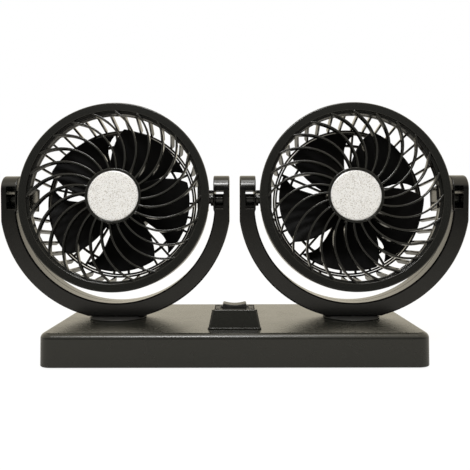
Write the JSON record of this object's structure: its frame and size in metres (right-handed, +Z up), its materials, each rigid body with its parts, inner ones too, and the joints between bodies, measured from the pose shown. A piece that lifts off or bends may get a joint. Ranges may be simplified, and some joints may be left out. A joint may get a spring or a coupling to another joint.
{
  "type": "twin car fan",
  "caption": "Twin dashboard fan: two round spiral-grille fan heads tilt in swivelling U-shaped yokes on one low wide base with a rocker switch.",
  "frame": {"origin": "centre of the rectangle under the four foot pads, on the surface the fan stands on", "axes": "+Z up, +X to the right as seen by a person whom the fan blows at, -Y towards that person"},
  "size_m": [0.2642, 0.1, 0.1405],
  "materials": {
    "housing": "satin black moulded plastic",
    "grille": "satin black moulded plastic",
    "blade": "black moulded plastic",
    "disc": "fine sparkling silver",
    "rocker": "smooth black switch plastic",
    "rubber": "black rubber",
    "steel": "plated steel",
    "brass": "plain brass"
  },
  "bodies": {
    "root": {"base_cover": "housing", "base_plate": "housing", "foot_front_left": "rubber", "foot_front_right": "rubber", "foot_rear_left": "rubber", "foot_rear_right": "rubber", "base_screw_front_left": "steel", "base_screw_front_right": "steel", "base_screw_rear_left": "steel", "base_screw_rear_right": "steel", "cable_gland": "rubber", "switch_housing": "housing", "switch_body": "rocker", "switch_terminal_1": "brass", "switch_terminal_2": "brass"},
    "rocker": {"rocker": "rocker"},
    "left_yoke": {"left_yoke_front": "housing", "left_yoke_rear": "housing", "left_swivel_foot": "housing", "left_swivel_retainer": "steel", "left_swivel_screw_1": "steel", "left_swivel_screw_2": "steel", "left_yoke_screw_1": "steel", "left_yoke_screw_2": "steel"},
    "left_head": {"left_front_grille": "grille", "left_hub_disc": "disc", "left_head_ring": "grille", "left_guard_cage": "grille", "left_rear_guard": "grille", "left_motor_can": "steel", "left_motor_end_cap": "housing", "left_motor_cover": "housing", "left_motor_screw_1": "steel", "left_motor_screw_2": "steel", "left_tilt_pin_left": "housing", "left_tilt_pin_right": "housing"},
    "left_fan": {"left_impeller": "blade", "left_motor_shaft": "steel"},
    "right_yoke": {"right_yoke_front": "housing", "right_yoke_rear": "housing", "right_swivel_foot": "housing", "right_swivel_retainer": "steel", "right_swivel_screw_1": "steel", "right_swivel_screw_2": "steel", "right_yoke_screw_1": "steel", "right_yoke_screw_2": "steel"},
    "right_head": {"right_front_grille": "grille", "right_hub_disc": "disc", "right_head_ring": "grille", "right_guard_cage": "grille", "right_rear_guard": "grille", "right_motor_can": "steel", "right_motor_end_cap": "housing", "right_motor_cover": "housing", "right_motor_screw_1": "steel", "right_motor_screw_2": "steel", "right_tilt_pin_left": "housing", "right_tilt_pin_right": "housing"},
    "right_fan": {"right_impeller": "blade", "right_motor_shaft": "steel"}
  },
  "joints": [
    {"name": "rocker_tilt", "type": "hinge", "parent": "root", "child": "rocker", "pos_m": [0, -0.02665, 0.0256], "axis": [0, 1, 0], "range_deg": [-10, 10]},
    {"name": "left_swivel", "type": "hinge", "parent": "root", "child": "left_yoke", "pos_m": [-0.0675, 0, 0.0181], "axis": [0, 0, 1], "range_deg": [-175, 175]},
    {"name": "left_tilt", "type": "hinge", "parent": "left_yoke", "child": "left_head", "pos_m": [-0.0675, 0, 0.08589], "axis": [1, 0, 0], "range_deg": [-82, 98]},
    {"name": "left_spin", "type": "hinge", "parent": "left_head", "child": "left_fan", "pos_m": [-0.0675, 0, 0.08589], "axis": [0, -0.9903, 0.1392], "continuous": true},
    {"name": "right_swivel", "type": "hinge", "parent": "root", "child": "right_yoke", "pos_m": [0.0675, 0, 0.0181], "axis": [0, 0, 1], "range_deg": [-175, 175]},
    {"name": "right_tilt", "type": "hinge", "parent": "right_yoke", "child": "right_head", "pos_m": [0.0675, 0, 0.08589], "axis": [1, 0, 0], "range_deg": [-82, 98]},
    {"name": "right_spin", "type": "hinge", "parent": "right_head", "child": "right_fan", "pos_m": [0.0675, 0, 0.08589], "axis": [0, -0.9903, 0.1392], "continuous": true}
  ]
}
